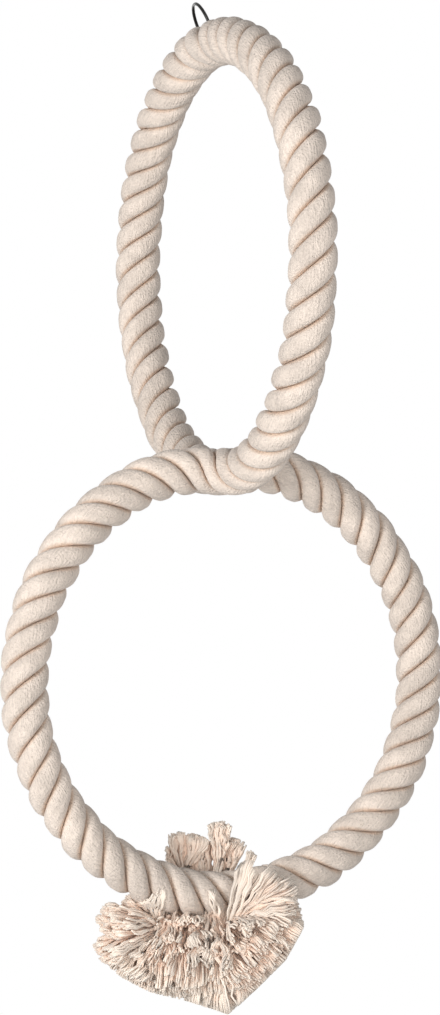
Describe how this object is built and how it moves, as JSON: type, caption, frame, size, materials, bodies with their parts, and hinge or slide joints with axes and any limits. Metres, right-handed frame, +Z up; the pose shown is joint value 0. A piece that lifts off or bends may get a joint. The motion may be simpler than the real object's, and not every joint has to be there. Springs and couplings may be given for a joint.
{
  "type": "bird rope perch",
  "caption": "Thick cotton rope bent into two rings, one above the other at a quarter turn, with a tassel below and a wire hanging ring on top.",
  "frame": {"origin": "the point inside the top of the wire hanging ring that bears on a hook; the rope hangs below it", "axes": "+Z up; the lower rope ring lies in the XZ plane and the upper rope ring in the YZ plane, both within a degree; the picture looks from -Y, turned 24 degrees towards -X"},
  "size_m": [0.2285, 0.2309, 0.4839],
  "materials": {
    "ring_wire": "dark oiled steel wire, smooth",
    "rope_cotton": "natural undyed cotton yarn laid into a strand, matt, cream with pinkish tan grooves",
    "tassel_cotton": "natural cotton yarn combed out and trimmed, matt",
    "twine": "waxed cotton twine"
  },
  "bodies": {
    "hanger": {"hanging_ring": "ring_wire"},
    "rope": {"rope_strand_1": "rope_cotton", "rope_strand_2": "rope_cotton", "rope_strand_3": "rope_cotton", "crossing_stitch": "twine", "tassel_tuft_right": "tassel_cotton", "tassel_tuft_bottom": "tassel_cotton", "tassel_tuft_front_left": "tassel_cotton", "tassel_tuft_left": "tassel_cotton", "tassel_tuft_back_left": "tassel_cotton", "tassel_tuft_back_right": "tassel_cotton"}
  },
  "joints": [
    {"name": "ring_swing", "type": "hinge", "parent": "hanger", "child": "rope", "pos_m": [0.00777, -0.00336, -0.01944], "axis": [-0.2079, -0.9744, 0.0853], "range_deg": [-22, 66]}
  ]
}
